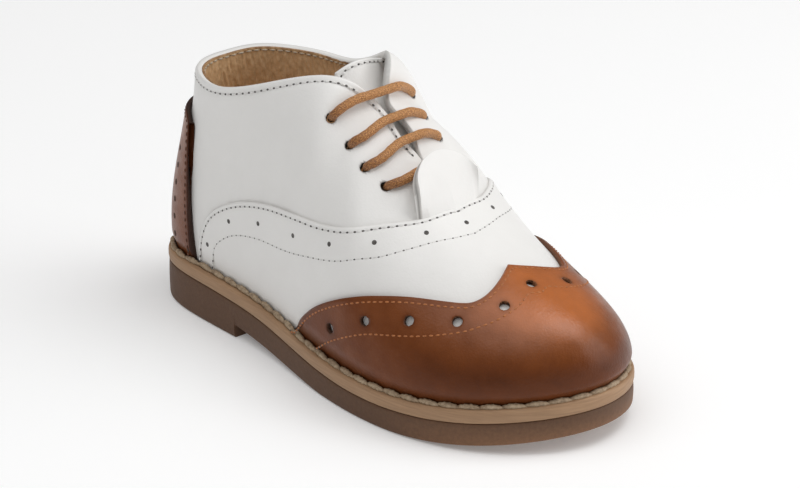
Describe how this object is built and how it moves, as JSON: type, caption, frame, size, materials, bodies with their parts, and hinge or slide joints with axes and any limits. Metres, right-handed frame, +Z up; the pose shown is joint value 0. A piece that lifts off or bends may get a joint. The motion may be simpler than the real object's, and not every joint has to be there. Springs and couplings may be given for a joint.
{
  "type": "christening shoe",
  "caption": "Toddler's ankle-high lace-up shoe: hollow white leather upper with tan wing toe cap and heel counter, on a stitched flat sole; stands empty on heel and ball.",
  "frame": {"origin": "on the floor, at the middle of the sole's box from above", "axes": "+X to the toe, +Y to the inner (medial) side, +Z up"},
  "size_m": [0.15, 0.0649, 0.077],
  "materials": {
    "outsole": "matt brown rubber with a fine rib",
    "midsole": "matt beige welt",
    "insole": "matt tan lining leather",
    "upper": "smooth satin white leather",
    "tongue": "smooth satin white leather",
    "wing_toe_cap": "burnished tan leather with a soft gloss",
    "heel_counter": "burnished tan leather with a soft gloss",
    "throat_tab": "smooth satin white leather, raw edge",
    "lace": "round waxed cord"
  },
  "bodies": {
    "root": {"outsole": "outsole", "midsole": "midsole", "insole": "insole", "upper": "upper", "tongue": "tongue", "wing_toe_cap": "wing_toe_cap", "heel_counter": "heel_counter", "throat_tab": "throat_tab", "lace_bar_1": "lace", "lace_bar_2": "lace", "lace_bar_3": "lace", "lace_bar_4": "lace"}
  },
  "joints": []
}
